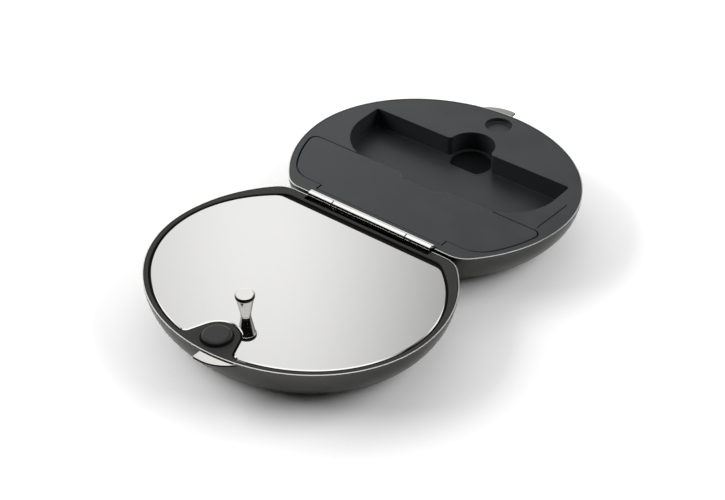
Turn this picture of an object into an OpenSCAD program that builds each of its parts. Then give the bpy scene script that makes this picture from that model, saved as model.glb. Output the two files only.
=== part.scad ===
// Pocket tobacco box: two metal half shells on a back hinge, opened flat.
// The tobacco half lies towards -X under a loose mirror lid with a turned knob.
// The paper half lies towards +X, with a paper pocket and a covered filter compartment.
// Each half is drawn in its own directions: u runs outwards from the hinge axis, y along it,
// and h is a height measured from the rim plane, negative below it.

/* [Case outline] */
// Half of the width along the hinge
half_width = 60; // [58:0.5:62]
// From the widest line of a half to its free edge
bow_len = 52.7; // [52:0.1:54]
// From the widest line of a half back towards the hinge, before the straight back cuts it
heel_len = 57.2; // [56:0.2:58]
// Distance of the widest line from the hinge axis
widest_u = 43; // [42.5:0.1:43.5]
// Distance of the straight back from the hinge axis
back_u = 0.9; // [0.8:0.1:1]
// Radius of the two corners beside the straight back
corner_r = 11; // [10.5:0.5:12]

/* [Shells] */
// Height of one half, from its flat underside to the rim plane
half_height = 18; // [18:0.5:20]
// Depth that the side wall's ellipse would reach if it ran on
side_depth = 30; // [29:0.5:33]
// Sheet thickness
wall = 0.9; // [0.7:0.1:1]

/* [Lid and tobacco well] */
// Width of the border between the case's edge and the lid, from the widest line outwards
lid_border = 2.9; // [2.8:0.1:3.2]
// As heel_len, for the lid, its recess and the well, so that the border widens towards the hinge
lid_heel_len = 51.4; // [51:0.2:52]
// Distance of the lid's straight edge from the hinge axis
lid_back_u = 7.2; // [7:0.1:7.6]
// Sheet thickness of the lid
lid_t = 0.7; // [0.6:0.1:0.8]
// Distance of the catch from the hinge axis
catch_u = 87; // [86.6:0.1:87.2]
// Radius of the round cut-out in the lid, about the catch
cutout_r = 8.8; // [8.6:0.1:9]
// Distance of the knob from the hinge axis
knob_u = 71.7; // [71.4:0.1:72.2]
// Height of the knob above the lid
knob_h = 9.6; // [8.8:0.1:9.8]
// Radius of the knob's head
knob_r = 3.6; // [3.4:0.1:4]
// Radius of the knob's foot
knob_foot_r = 1.9; // [1.8:0.1:2.3]
// Floor of the tobacco well, below the rim plane
well_depth = 15.4; // [13:0.1:15.6]

/* [Paper half] */
// Distance of the paper pocket's far wall from the hinge axis
pocket_far_u = 66.6; // [66:0.1:66.6]
// Distance of its near wall
pocket_near_u = 33; // [32.6:0.1:33.4]
// Half of the paper pocket's width
pocket_half = 47.6; // [46.8:0.1:47.6]
// Radius of its two swept near corners
pocket_r = 22.8; // [22:0.2:23]
// Depth of the paper pocket
pocket_depth = 8.6; // [8:0.1:9]
// Radius of the round well that takes the knob
well_r = 9.6; // [9.4:0.1:9.8]
// Distance of the round well's centre from the hinge axis
well_u = 67.8; // [67.6:0.1:68.2]
// Further depth of the round well below the pocket's floor
well_drop = 1.2; // [0.8:0.1:2]
// Distance of the filter cover's far edge from the hinge axis
cover_far_u = 34.3; // [34:0.1:34.6]
// Width of the strip between the case's edge and the filter cover
cover_border = 3.3; // [3.2:0.1:3.8]
// Thickness of the filter cover
cover_t = 1.5; // [1.2:0.1:1.6]

/* [Hinge and tabs] */
// Length of the hinge barrel
barrel_len = 59; // [57:0.5:59.5]
// Length of its middle knuckle
middle_knuckle = 35; // [34:0.5:36]
// Outer radius of the barrel
barrel_r = 1.8; // [1.7:0.05:1.8]
// Radius of the hinge pin
pin_r = 0.7; // [0.6:0.05:0.8]
// How far a thumb tab reaches from the hinge axis
tab_reach = 99.8; // [99:0.1:100.5]
// Radius of a thumb tab's outer edge
tab_r = 17; // [16.5:0.1:17.5]

/* [Hidden] */

$fn = 64;
rim_z = half_height;
// How far a cut runs past the surface that it opens, and how far joined solids reach into each other
past = 1;
joined = 0.01;
// The hinge axis lies half of the shut case's gap above the rim plane
shut_gap = 0.4;
axis_h = shut_gap / 2;

// Points round one side of an outline: along the bow, and round a corner
bow_steps = 24;
corner_steps = 6;
solver_steps = 26;

// Profile of the shell's side: the ellipse ends at turn_depth and a curve leads to the flat underside
turn_depth = 14.4;
flat_scale = 0.67;
side_steps = 4;
turn_steps = 4;
// How far the straight back leans in, per unit of the outline's shrinking
back_lean = 24;

// Moulded inserts: side gap to the shell, level of the step below the rim band, inset under it
insert_gap = 0.2;
insert_step = -1.2;
insert_low_inset = 1.7;
post_r = 3.5;

// Rim bead of the tobacco insert, and the recess that the lid lies in
bead_top = -0.15;
bead_in = 2.1;
bead_r = 0.4;
lid_top = -0.3;
lid_ledge = lid_top - lid_t;
lid_recess_back = 4.9;
lid_recess_r = 7;
lid_back_r = 6;

// Tobacco well: its mouth, its moulded wall, and how its sides draw in and round off to the floor
well_border = 6.6;
well_back_u = 11.5;
well_front_u = 75.5;
well_corner_r = 9;
well_corner_min = 2.5;
well_squeeze = (well_front_u - widest_u) / (bow_len - well_border);
well_draft = 7;
well_foot = 3;
well_levels = [0, 0.35, 0.65, 0.85, 0.96, 1];
tray_t = 1.2;

// Seal ring in its step round the well's mouth, and the liner under the lid with its skirt
seal_seat = -2.4;
seal_in = 0.3;
seal_w = 1.6;
seal_play = 0.05;
seal_gap = 0.1;
liner_t = 1;
liner_play = 0.4;
skirt_in = 1;
skirt_t = 1;
skirt_drop = 3;
screw_r = 1;
screw_play = 0.05;
screw_grip = 4.5;
screw_head_r = 2.1;
screw_head_t = 1.2;

// Catch: a low boss that seats in a dimple, with a magnet and a steel plate behind them
pad_top = -0.35;
pad_gap = 0.45;
horn_angle = 22;
horn_r = 2.6;
pad_half = 15;
boss_r = 6.4;
boss_h = 1.7;
magnet_r = 4;
magnet_t = 2;
dimple_r = 5.65;
dimple_depth = 1.9;
dimple_floor_t = 1.2;
dimple_wall = 1;

// Paper half: deck, tubs under it, filter compartment and the cover's seat
leaf_t = 0.8;
leaf_low = -3.9;
deck_top = -0.2;
deck_edge_r = 0.2;
deck_low = leaf_low + leaf_t;
tub_t = 1;
tub_inset = 4.6;
pocket_floor = deck_top - pocket_depth;
pocket_sweep_u = pocket_near_u + pocket_r;
fillet_r = 2;
recess_near_u = 61.8;
recess_ledge = 0.9;
cover_seat = deck_top - cover_t - 0.1;
cover_play = 0.2;
cover_back_u = 8;
cover_back_r = 13;
cover_far_r = 3;
tongue_u = 4.7;
tongue_half = 30.2;
notch_half = 11;
notch_depth = 3.1;
notch_slope = 3.5;
filter_near_u = 9.5;
filter_far_u = 30.2;
filter_half = 34;
filter_r = 5;
filter_floor = -12.5;
slit_w = 0.45;
slit_depth = 0.8;
slit_start = [35.8, -52.4];
slit_end = [55.5, -53.3];

// Hinge leaves: spans of their knuckles along y, with the gap between knuckles taken off
knuckle_gap = 0.15;
outer_start = middle_knuckle / 2 + knuckle_gap;
outer_spans = [[-barrel_len / 2, -outer_start], [outer_start, barrel_len / 2]];
inner_spans = [[-middle_knuckle / 2, middle_knuckle / 2]];
bore_r = pin_r + 0.03;
leaf_u = barrel_r - leaf_t;
leaf_in = 5.6;
leaf_play = 0.1;
recess_half = barrel_len / 2 + 0.4;
recess_floor = -2.2;
recess_outer_u = 3.65;
recess_inner_u = 2.4;
rivet_u = 4;
rivet_r = 0.8;
rivet_grip = 0.5;
rivet_head_r = 1.4;
rivet_head_t = 0.6;
outer_rivets = [-23.4, 23.4];
inner_rivets = [-12, 12];

// Thumb tabs: thickness, level, how deep they are rooted, and where the square end lies
tab_t = 0.9;
tab_top = -0.6;
tab_in = 2.5;
tab_centre_y = 2;
tab_end_y = 0.15;
tab_play = 0.1;

shell_grey = [0.33, 0.34, 0.32];
insert_black = [0.16, 0.17, 0.17];
bright = [0.86, 0.86, 0.84];
steel = [0.62, 0.62, 0.62];
rubber = [0.06, 0.06, 0.06];

// Point of the bow at angle t, shrunk by the factor s about the widest line, and its outward normal.
// Beyond the widest line the bow is an ellipse of half axis bow_len, and behind it of half axis heel.
function bow(t, s, heel) =
    [widest_u + (cos(t) > 0 ? bow_len : heel) * s * cos(t), half_width * s * sin(t)];
function bow_normal(t, heel) =
    let (n = [cos(t) / (cos(t) > 0 ? bow_len : heel), sin(t) / half_width]) n / norm(n);
function normal_angle(t, heel = heel_len) = let (n = bow_normal(t, heel)) atan2(n[1], n[0]);

// Where the outline stands at angle t, moved in by inset
function edge(t, inset, s = 1, heel = heel_len) = bow(t, s, heel) - inset * bow_normal(t, heel);

// Angle at which a corner circle of radius r, with its centre at u = centre_u, touches that outline
function touch_angle(inset, centre_u, r, s = 1, heel = heel_len, lo = 0, hi = 180, n = solver_steps) =
    let (mid = (lo + hi) / 2)
    n == 0 ? mid :
    edge(mid, inset + r, s, heel)[0] > centre_u
        ? touch_angle(inset, centre_u, r, s, heel, mid, hi, n - 1)
        : touch_angle(inset, centre_u, r, s, heel, lo, mid, n - 1);

function arc(centre, r, a0, a1, n) =
    [for (i = [1:n]) let (a = a0 + (a1 - a0) * i / n) centre + r * [cos(a), sin(a)]];
function bow_arc(inset, t0, t1, n, s = 1, heel = heel_len) =
    [for (i = [0:n]) edge(t0 + (t1 - t0) * i / n, inset, s, heel)];

// Closed outline of one half: the bow, then a corner of radius r on each side of the straight back
function outline(inset, back, r, s = 1, heel = heel_len) =
    let (
        t = touch_angle(inset, back + r, r, s, heel),
        side = concat(
            bow_arc(inset, 0, t, bow_steps, s, heel),
            arc(edge(t, inset + r, s, heel), r, normal_angle(t, heel), 180, corner_steps)
        )
    )
    concat(side, [for (i = [len(side) - 1:-1:1]) [side[i][0], -side[i][1]]]);

// Closed outline of a panel that ends at u = far, with corners of radius r_far there
function panel(inset, back, far, r_back, r_far) =
    let (
        t0 = touch_angle(inset, far - r_far, r_far),
        t1 = touch_angle(inset, back + r_back, r_back),
        far_corner = edge(t0, inset + r_far),
        side = concat(
            [[far, far_corner[1]]],
            arc(far_corner, r_far, 0, normal_angle(t0), corner_steps),
            bow_arc(inset, t0, t1, corner_steps),
            arc(edge(t1, inset + r_back), r_back, normal_angle(t1), 180, corner_steps)
        )
    )
    concat(side, [for (i = [len(side) - 1:-1:0]) [side[i][0], -side[i][1]]]);

// The outline as a ring of points at level h, for the case and for the lid's recess
function ring(inset, back, r, h, s = 1) = [for (q = outline(inset, back, r, s)) [q[0], q[1], h]];
function lid_ring(inset, back, r, h) =
    [for (q = outline(inset, back, r, 1, lid_heel_len)) [q[0], q[1], h]];

// Depth and shrink factor down the shell's side, for a bowl of the given height
function side_scale(d) = sqrt(1 - pow(d / side_depth, 2));
function side_profile(height) =
    let (
        k = height / half_height,
        s0 = side_scale(turn_depth),
        slope = turn_depth / (side_depth * side_depth * s0),
        s1 = s0 - slope * (half_height - turn_depth)
    )
    concat(
        [for (i = [0:side_steps]) let (d = turn_depth * i / side_steps) [d * k, side_scale(d)]],
        [for (i = [1:turn_steps]) let (f = i / turn_steps, g = 1 - f)
            [k * (g * g * turn_depth + (1 - g * g) * half_height),
             g * g * s0 + 2 * f * g * s1 + f * f * flat_scale]]
    );

// Solid through a stack of rings, listed from the top down, each with the same number of points
module loft(rings) {
    n = len(rings[0]);
    m = len(rings);
    polyhedron(
        points = [for (ring = rings) each ring],
        faces = concat(
            [[for (i = [n - 1:-1:0]) i]],
            [for (j = [0:m - 2], i = [0:n - 1])
                [j * n + i, (j + 1) * n + (i + 1) % n, (j + 1) * n + i]],
            [for (j = [0:m - 2], i = [0:n - 1])
                [j * n + i, j * n + (i + 1) % n, (j + 1) * n + (i + 1) % n]],
            [[for (i = [0:n - 1]) (m - 1) * n + i]]
        )
    );
}

// Bowl that follows the shell's side, moved in by inset, of the given height, and run on upwards by rise
module bowl(inset, height, rise = 0) {
    profile = concat(rise > 0 ? [[-rise, 1]] : [], side_profile(height));
    loft([for (p = profile)
        ring(inset, back_u + inset + back_lean * (1 - p[1]), (corner_r - inset) * p[1], -p[0], p[1])]);
}

// Plate that follows the case outline from level low to level high, its upper edge rounded by r
module case_plate(inset, low, high, r) {
    loft(concat(
        [for (a = [90:-30:0]) let (move = inset + r * (1 - cos(a)))
            ring(move, back_u + move, corner_r - move, high - r + r * sin(a))],
        [ring(inset, back_u + inset, corner_r - inset, low)]
    ));
}

// The flat shape of the case outline, moved in on all sides
module case_shape(inset) { polygon(outline(inset, back_u + inset, corner_r - inset)); }

// Both halves: u towards -X for the tobacco half and towards +X for the paper half
module tobacco_side() { translate([0, 0, rim_z]) mirror([1, 0, 0]) children(); }
module paper_side() { translate([0, 0, rim_z]) children(); }

// Prism from level low to level high over a flat shape
module slab(low, high) { translate([0, 0, low]) linear_extrude(high - low) children(); }

// Rectangle from u0 to u1, half to each side
module bar(u0, u1, half) { translate([u0, -half]) square([u1 - u0, 2 * half]); }

// Posts on which an insert stands on the shell's floor
module posts(places, top) {
    for (at = places) translate([at[0], at[1], wall - half_height])
        cylinder(r = post_r, h = top - wall + half_height);
}

// Half shells

module half_shell(recess_reach, spans) {
    difference() {
        bowl(0, half_height);
        bowl(wall, half_height - wall, past);
        hinge_recess(recess_reach);
        leaf_slots(spans);
        tab_slot();
    }
}

module tobacco_shell() { color(shell_grey) tobacco_side() half_shell(recess_outer_u, outer_spans); }
module paper_shell() {
    color(shell_grey) paper_side() mirror([0, 1, 0]) half_shell(recess_inner_u, inner_spans);
}

// Thumb tab seen from above: a fin that widens from the rim to a square end beside the middle
module tab_shape(grow = 0) {
    difference() {
        intersection() {
            translate([tab_reach - tab_r, -tab_centre_y]) circle(tab_r + grow, $fn = 96);
            translate([tab_reach - tab_r, grow - tab_end_y - 2 * tab_r]) square(2 * tab_r);
        }
        case_shape(tab_in);
    }
}

module thumb_tab() { slab(tab_top - tab_t, tab_top) tab_shape(); }
module tab_slot() { slab(tab_top - tab_t - tab_play, tab_top + tab_play) tab_shape(tab_play); }

module tobacco_tab() { color(bright) tobacco_side() thumb_tab(); }

// The paper half's tab lies on the other side of the middle, so that shut they stand side by side
module paper_tab() { color(bright) paper_side() mirror([0, 1, 0]) thumb_tab(); }

// Hinge

// Room for the hinge barrel at the straight back
module hinge_recess(reach) { slab(recess_floor, past) bar(-past, reach, recess_half); }

// Slots through the straight back for the webs and flanges of one leaf
module leaf_slots(spans) {
    for (span = spans)
        translate([-past, span[0] - leaf_play, leaf_low - leaf_play])
            cube([past + back_u + 2 * wall, span[1] - span[0] + 2 * leaf_play,
                recess_floor - leaf_low + leaf_play + joined]);
}

// Seats in an insert's underside for the flanges
module leaf_seats(spans) {
    for (span = spans)
        translate([0, span[0] - leaf_play, leaf_low - past])
            cube([leaf_in + leaf_play, span[1] - span[0] + 2 * leaf_play, leaf_t + past]);
}

// Hinge leaf: knuckles round the pin, a web down the back, and a flange turned inwards
module hinge_leaf(spans, rivets) {
    difference() {
        for (span = spans) translate([0, span[0], 0]) {
            run = span[1] - span[0];
            translate([0, 0, axis_h]) rotate([-90, 0, 0]) cylinder(r = barrel_r, h = run);
            translate([leaf_u, 0, leaf_low]) cube([leaf_t, run, axis_h - leaf_low]);
            translate([leaf_u, 0, leaf_low]) cube([leaf_in - leaf_u, run, leaf_t]);
        }
        translate([0, -barrel_len, axis_h]) rotate([-90, 0, 0]) cylinder(r = bore_r, h = 2 * barrel_len);
        for (y = rivets) translate([rivet_u, y, leaf_low - past]) cylinder(r = rivet_r, h = leaf_t + 2 * past);
    }
}

// Rivets that hold a leaf's flange up against the insert
module leaf_rivets(places) {
    for (y = places) translate([rivet_u, y, leaf_low]) {
        translate([0, 0, -rivet_head_t]) cylinder(r = rivet_head_r, h = rivet_head_t);
        cylinder(r = rivet_r, h = leaf_t + rivet_grip);
    }
}

module rivet_holes(places) {
    for (y = places) translate([rivet_u, y, leaf_low]) cylinder(r = rivet_r, h = leaf_t + rivet_grip);
}

module hinge_leaf_outer() { color(bright) tobacco_side() hinge_leaf(outer_spans, outer_rivets); }
module hinge_leaf_inner() { color(bright) paper_side() hinge_leaf(inner_spans, inner_rivets); }
module leaf_rivets_outer() { color(steel) tobacco_side() leaf_rivets(outer_rivets); }
module leaf_rivets_inner() { color(steel) paper_side() leaf_rivets(inner_rivets); }

module hinge_pin() {
    color(steel) tobacco_side() translate([0, -barrel_len / 2, axis_h]) rotate([-90, 0, 0])
        cylinder(r = pin_r, h = barrel_len);
}

// Tobacco half

// Opening at the catch, seen from above: round, with straight sides that spread towards the free edge
module cutout_shape(r) {
    side_u = -r * sin(horn_angle);
    side_y = r * cos(horn_angle);
    spread = (pad_half - side_u) * tan(horn_angle);
    translate([catch_u, 0]) {
        circle(r);
        polygon([
            [side_u, -side_y],
            [pad_half, -side_y - spread],
            [pad_half, side_y + spread],
            [side_u, side_y]
        ]);
    }
}

// Lid seen from above, grown by a gap, with a rounded horn on each side of its cut-out
module lid_shape(grow = 0) {
    offset(horn_r + grow) offset(delta = -horn_r) difference() {
        polygon(outline(lid_border, lid_back_u, lid_back_r, 1, lid_heel_len));
        cutout_shape(cutout_r);
    }
}

// Part of the insert that fills the lid's cut-out
module catch_pad() {
    slab(lid_ledge - joined, pad_top) difference() {
        intersection() {
            case_shape(bead_in - bead_r);
            bar(catch_u - cutout_r, catch_u + pad_half, pad_half);
        }
        lid_shape(pad_gap);
    }
}

// Recess that the lid lies in, with a rounded mouth that makes the rim a bead
module lid_recess() {
    loft(concat(
        [lid_ring(bead_in - bead_r, lid_recess_back - bead_r, lid_recess_r, past)],
        [for (a = [90:-30:0]) let (flare = bead_r * (1 - cos(a)))
            lid_ring(bead_in - flare, lid_recess_back - flare, lid_recess_r, bead_top - bead_r * (1 - sin(a)))],
        [lid_ring(bead_in, lid_recess_back, lid_recess_r, lid_ledge)]
    ));
}

// Mouth of the tobacco well as a ring at level h, moved in by inset
function well_ring(inset, h) =
    let (r = max(well_corner_r - inset, well_corner_min))
    [for (q = outline(well_border + inset, well_back_u + inset, r, 1, lid_heel_len))
        [q[0] > widest_u ? widest_u + (q[0] - widest_u) * well_squeeze : q[0], q[1], h]];
module well_shape(inset) { polygon([for (q = well_ring(inset, 0)) [q[0], q[1]]]); }

// Tobacco well as a solid that draws in and rounds off towards its floor
module well_solid(inset, top, floor_level) {
    loft([for (f = well_levels)
        well_ring(inset + well_draft * f * f + well_foot * pow(f, 8), top - (top - floor_level) * f)]);
}

module tobacco_insert() {
    low = leaf_low;
    tray_low = -well_depth - tray_t;
    color(insert_black) tobacco_side() difference() {
        union() {
            difference() {
                union() {
                    case_plate(wall + insert_gap, insert_step, bead_top, bead_r);
                    slab(low, insert_step + joined) case_shape(insert_low_inset);
                }
                lid_recess();
            }
            catch_pad();
            well_solid(-tray_t, low + joined, tray_low);
            posts([for (u = [30, 58], y = [-22, 22]) [u, y]], tray_low + joined);
        }
        slab(seal_seat, past) well_shape(-seal_in - seal_w - seal_gap);
        well_solid(0, seal_seat + joined, -well_depth);
        hinge_recess(recess_outer_u);
        leaf_seats(outer_spans);
        rivet_holes(outer_rivets);
        tab_slot();
        translate([catch_u, 0, low - joined]) cylinder(r = magnet_r, h = magnet_t + joined);
    }
}

module lid_seal() {
    color(rubber) tobacco_side() slab(seal_seat, lid_ledge - seal_play) difference() {
        well_shape(-seal_in - seal_w);
        well_shape(-seal_in);
    }
}

module catch_boss() {
    color(insert_black) tobacco_side() translate([catch_u, 0, pad_top]) rotate_extrude() polygon([
        [0, 0],
        [boss_r, 0],
        [boss_r - 0.5, 0.3],
        [boss_r - 1.1, 0.75],
        [boss_r - 1.35, boss_h - 0.35],
        [boss_r - 1.6, boss_h - 0.1],
        [boss_r - 2, boss_h],
        [0, boss_h]
    ]);
}

module catch_magnet() {
    color(steel) tobacco_side() translate([catch_u, 0, leaf_low]) cylinder(r = magnet_r, h = magnet_t);
}

// Lid with its liner, knob and screw

module lid_plate() {
    color(bright) tobacco_side() difference() {
        slab(lid_ledge, lid_top) lid_shape();
        translate([knob_u, 0, lid_top - 2 * lid_t]) cylinder(r = screw_r + screw_play, h = 3 * lid_t);
    }
}

module lid_liner() {
    low = lid_ledge - liner_t;
    color(insert_black) tobacco_side() difference() {
        union() {
            slab(low, lid_ledge) well_shape(liner_play);
            slab(low - skirt_drop, low + joined) difference() {
                well_shape(skirt_in);
                well_shape(skirt_in + skirt_t);
            }
        }
        translate([knob_u, 0, low - liner_t]) cylinder(r = screw_r + screw_play, h = 3 * liner_t);
    }
}

module lid_knob() {
    color(bright) tobacco_side() translate([knob_u, 0, lid_top]) difference() {
        rotate_extrude() polygon([
            [0, 0],
            [knob_foot_r, 0],
            [knob_foot_r + 0.05, 0.7],
            [knob_r - 0.2, knob_h - 1.1],
            [knob_r, knob_h - 0.7],
            [knob_r - 0.05, knob_h - 0.35],
            [knob_r - 0.45, knob_h],
            [0, knob_h]
        ]);
        translate([0, 0, -joined]) cylinder(r = screw_r + screw_play, h = screw_grip + joined);
    }
}

module knob_screw() {
    color(steel) tobacco_side() translate([knob_u, 0, lid_ledge - liner_t]) {
        translate([0, 0, -screw_head_t]) cylinder(r = screw_head_r, h = screw_head_t);
        cylinder(r = screw_r, h = liner_t + lid_t + screw_grip);
    }
}

// Paper half

// Paper pocket seen from above, grown on all sides
module pocket_shape(grow = 0) {
    sweep_y = pocket_half - pocket_r;
    bar(pocket_near_u - grow, pocket_far_u + grow, sweep_y);
    bar(pocket_sweep_u, pocket_far_u + grow, pocket_half + grow);
    intersection() {
        bar(pocket_near_u - grow, pocket_sweep_u + joined, pocket_half + grow);
        for (side = [-1, 1]) translate([pocket_sweep_u, side * sweep_y]) circle(pocket_r + grow, $fn = 128);
    }
}

// Round well in the pocket's far wall, with a fillet at each side of its mouth
module knob_well_shape(grow = 0) {
    fillet_u = pocket_far_u + fillet_r - joined;
    fillet_y = sqrt(pow(well_r + fillet_r, 2) - pow(fillet_u - well_u, 2));
    translate([well_u, 0]) circle(well_r + grow);
    difference() {
        bar(pocket_far_u - fillet_r, fillet_u, fillet_y);
        for (side = [-1, 1]) translate([fillet_u, side * fillet_y]) circle(fillet_r - grow);
    }
}

// Deeper recess in the well's floor, cut straight on the near side with rounded corners
module knob_recess_shape() {
    offset(fillet_r) offset(delta = -fillet_r) intersection() {
        translate([well_u, 0]) circle(well_r - recess_ledge);
        bar(recess_near_u, well_u + well_r, well_r);
    }
}

// Filter compartment seen from above, grown on all sides
module filter_shape(grow = 0) {
    bar(filter_near_u - grow, filter_far_u + grow, filter_half - filter_r);
    bar(filter_near_u + filter_r, filter_far_u - filter_r, filter_half + grow);
    for (u = [filter_near_u + filter_r, filter_far_u - filter_r], side = [-1, 1])
        translate([u, side * (filter_half - filter_r)]) circle(filter_r + grow);
}

// Filter cover seen from above, with its tongue towards the hinge, grown by the play in its seat
module cover_shape(grow = 0) {
    polygon(panel(cover_border - grow, cover_back_u - grow, cover_far_u + grow, cover_back_r, cover_far_r));
    bar(tongue_u - grow, cover_back_u + past, tongue_half + grow);
}

// Finger notch in the middle of the cover's far edge
module notch_shape() {
    flare = notch_half + notch_slope * past / notch_depth;
    polygon([
        [cover_far_u + past, -flare],
        [cover_far_u - notch_depth, notch_slope - notch_half],
        [cover_far_u - notch_depth, notch_half - notch_slope],
        [cover_far_u + past, flare]
    ]);
}

module filter_cover() {
    color(insert_black) paper_side() slab(deck_top - cover_t, deck_top) difference() {
        cover_shape();
        notch_shape();
    }
}

// Narrow groove beside the cover's far corner, on one side only
module slit() {
    run = slit_end - slit_start;
    translate([slit_start[0], slit_start[1], deck_top - slit_depth]) rotate([0, 0, atan2(run[1], run[0])])
        translate([0, -slit_w / 2, 0]) cube([norm(run), slit_w, slit_depth + past]);
}

// Tubs under the deck, cut back where they would meet the shell's side
module paper_tubs() {
    intersection() {
        slab(pocket_floor - tub_t, deck_low + joined) pocket_shape(tub_t);
        slab(-half_height, 0) case_shape(tub_inset);
    }
    slab(pocket_floor - well_drop - tub_t, deck_low + joined) knob_well_shape(tub_t);
    slab(filter_floor - tub_t, deck_low + joined) filter_shape(tub_t);
    translate([catch_u, 0, deck_top - dimple_depth - dimple_floor_t - magnet_t])
        cylinder(r = dimple_r + dimple_wall, h = dimple_depth + magnet_t);
    posts([for (u = [16, 25], y = [-20, 20]) [u, y]], filter_floor - tub_t + joined);
    posts([for (y = [-25, 25]) [50, y]], pocket_floor - tub_t + joined);
}

module paper_insert() {
    plate_low = deck_top - dimple_depth - dimple_floor_t - magnet_t;
    color(insert_black) paper_side() difference() {
        union() {
            case_plate(wall + insert_gap, insert_step, deck_top, deck_edge_r);
            slab(deck_low, insert_step + joined) case_shape(insert_low_inset);
            paper_tubs();
        }
        slab(pocket_floor, past) pocket_shape();
        slab(pocket_floor, past) knob_well_shape();
        slab(pocket_floor - well_drop, past) knob_recess_shape();
        slab(filter_floor, past) filter_shape();
        slab(cover_seat, past) cover_shape(cover_play);
        translate([catch_u, 0, deck_top - dimple_depth]) cylinder(r = dimple_r, h = dimple_depth + past);
        translate([catch_u, 0, plate_low - joined]) cylinder(r = magnet_r, h = magnet_t + joined);
        hinge_recess(recess_inner_u);
        rivet_holes(inner_rivets);
        mirror([0, 1, 0]) tab_slot();
        slit();
    }
}

module catch_plate() {
    color(steel) paper_side()
        translate([catch_u, 0, deck_top - dimple_depth - dimple_floor_t - magnet_t])
            cylinder(r = magnet_r, h = magnet_t);
}

tobacco_shell();
tobacco_insert();
tobacco_tab();
lid_seal();
catch_boss();
catch_magnet();
hinge_leaf_outer();
hinge_pin();
leaf_rivets_outer();
lid_plate();
lid_liner();
lid_knob();
knob_screw();
paper_shell();
paper_insert();
paper_tab();
catch_plate();
hinge_leaf_inner();
leaf_rivets_inner();
filter_cover();
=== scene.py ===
"""Looks of the tobacco box: finer forms, finishes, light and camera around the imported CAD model.

Lengths are millimetres while a piece is built. Each half has its own frame: u runs from the hinge
axis out to the free edge, y along the hinge and h up from the plane of the rims.
"""

import math

import bmesh
import bpy
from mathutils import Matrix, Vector


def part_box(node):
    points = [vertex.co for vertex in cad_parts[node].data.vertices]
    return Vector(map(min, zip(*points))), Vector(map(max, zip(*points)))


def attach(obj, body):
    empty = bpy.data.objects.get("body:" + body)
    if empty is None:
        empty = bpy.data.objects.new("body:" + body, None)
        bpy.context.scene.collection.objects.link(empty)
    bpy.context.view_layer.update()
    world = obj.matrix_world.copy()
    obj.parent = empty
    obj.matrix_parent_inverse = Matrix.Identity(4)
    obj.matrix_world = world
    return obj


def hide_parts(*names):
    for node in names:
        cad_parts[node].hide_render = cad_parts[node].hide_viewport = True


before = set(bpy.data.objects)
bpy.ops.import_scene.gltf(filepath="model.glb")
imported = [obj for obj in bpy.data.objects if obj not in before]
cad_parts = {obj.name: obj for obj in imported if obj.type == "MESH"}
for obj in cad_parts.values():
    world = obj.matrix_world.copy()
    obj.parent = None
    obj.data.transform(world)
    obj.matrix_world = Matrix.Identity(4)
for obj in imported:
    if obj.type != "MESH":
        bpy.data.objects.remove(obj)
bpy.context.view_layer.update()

MM = 0.001
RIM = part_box("paper_shell")[1].z / MM
CUT, JOIN, KEEP = "DIFFERENCE", "UNION", "INTERSECT"

# Side of the hinge that a half lies on
TOBACCO, PAPER = -1, 1

# Places in a piece's list of finishes
MAIN, SECOND, THIRD = 0, 1, 2

# How far a cutter runs past what it cuts, how far joined solids lap, and the gap round a piece
# that is let into another
PAST, LAP, CLEAR = 1.0, 0.2, 0.1

# Points closer than WELD become one; edges sharper than SHARP stay sharp
WELD, SHARP = 1e-4, math.radians(35)

# Angles round the edge of a rounded rim or fillet
QUARTER = [math.radians(a) for a in (0, 22.5, 45, 67.5, 90)]

# Case outline and the shell's side, as in the CAD source. The half width is a hair less, so that
# the finer outline stays in the CAD model's box.
HALF_WIDTH, WIDEST, BOW = 59.975, 43.0, 52.7
CASE_HEEL, LID_HEEL = 57.2, 51.4
BACK, CORNER = 0.9, 11.0
DEPTH, SIDE_DEPTH, TURN_DEPTH, FLAT_SCALE, BACK_LEAN = 18.0, 30.0, 14.4, 0.67, 24.0
WALL = 0.9

# The shell's lip, and the step that the insert's flange lies on
LIP_WIDTH, LIP_R, LIP_BREAK, SEAT_STEP, FLANGE_GAP = 0.38, 0.12, 0.04, -0.7, 0.05
SKIRT_IN, NECK_IN, SHOULDER = 1.7, 1.0, -1.2

# Lid, its recess with the rim bead, and the cut-out round the catch
BEAD_TOP, BEAD_IN, BEAD_R, BEAD_EDGE_R = -0.15, 2.1, 0.4, 0.35
LID_TOP, LID_T, LID_BORDER, LID_BACK, LID_BACK_R, LID_BEVEL = -0.3, 0.7, 2.9, 7.2, 6.0, 0.33
RECESS_BACK, RECESS_R = 4.9, 7.0
LEDGE = LID_TOP - LID_T
CATCH_U, CUTOUT_R, HORN_ANGLE, HORN_R = 87.0, 8.8, math.radians(22), 2.6
PAD_TOP, PAD_GAP, PAD_UNDER_BEAD, PAD_EDGE_R = -0.35, 0.6, 0.7, 0.2
INSERT_LOW = -3.9

# Tobacco well
WELL_BORDER, WELL_BACK, WELL_FRONT, WELL_DEPTH, WELL_WALL = 6.6, 11.5, 75.5, 15.4, 1.2
WELL_CORNER_R, WELL_LEAST_R = 9, 2.5
WELL_SQUEEZE = (WELL_FRONT - WIDEST) / (BOW - WELL_BORDER)
SEAL_SEAT, SEAL_BORDER, OVERLAP = -2.4, 2.0, 0.01

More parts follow.
